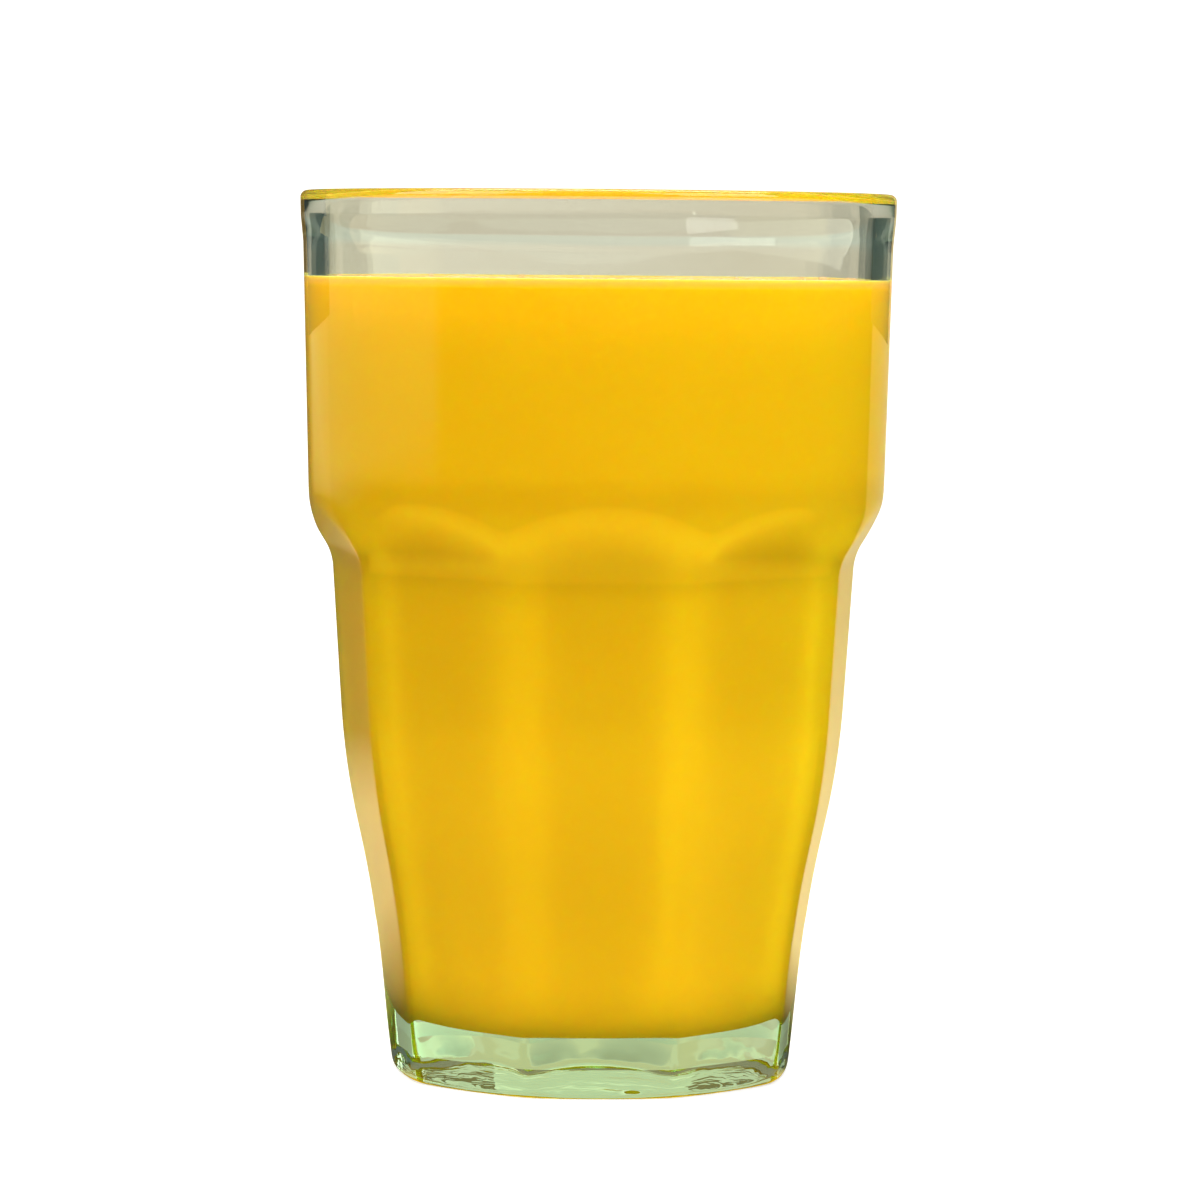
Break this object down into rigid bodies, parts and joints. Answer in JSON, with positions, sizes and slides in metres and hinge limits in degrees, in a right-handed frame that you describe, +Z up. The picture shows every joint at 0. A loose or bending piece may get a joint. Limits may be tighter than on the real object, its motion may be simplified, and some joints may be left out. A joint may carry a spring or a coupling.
{
  "type": "glass of orange juice",
  "caption": "Tumbler with a round upper band and a faceted, tapering lower body on a thick clear base, filled with orange juice to a little below the rim.",
  "frame": {"origin": "middle of the base, on the surface that the glass stands on", "axes": "+Z up along the axis of the glass; one facet of the lower body faces -Y, and the opposite edge between two facets points to +Y"},
  "size_m": [0.081, 0.081, 0.12],
  "materials": {
    "glass": "clear pressed soda-lime glass with a faint green tint, fire polished",
    "juice": "opaque, cloudy yellow-orange juice with a smooth wet surface"
  },
  "bodies": {
    "root": {"glass": "glass", "juice": "juice"}
  },
  "joints": []
}
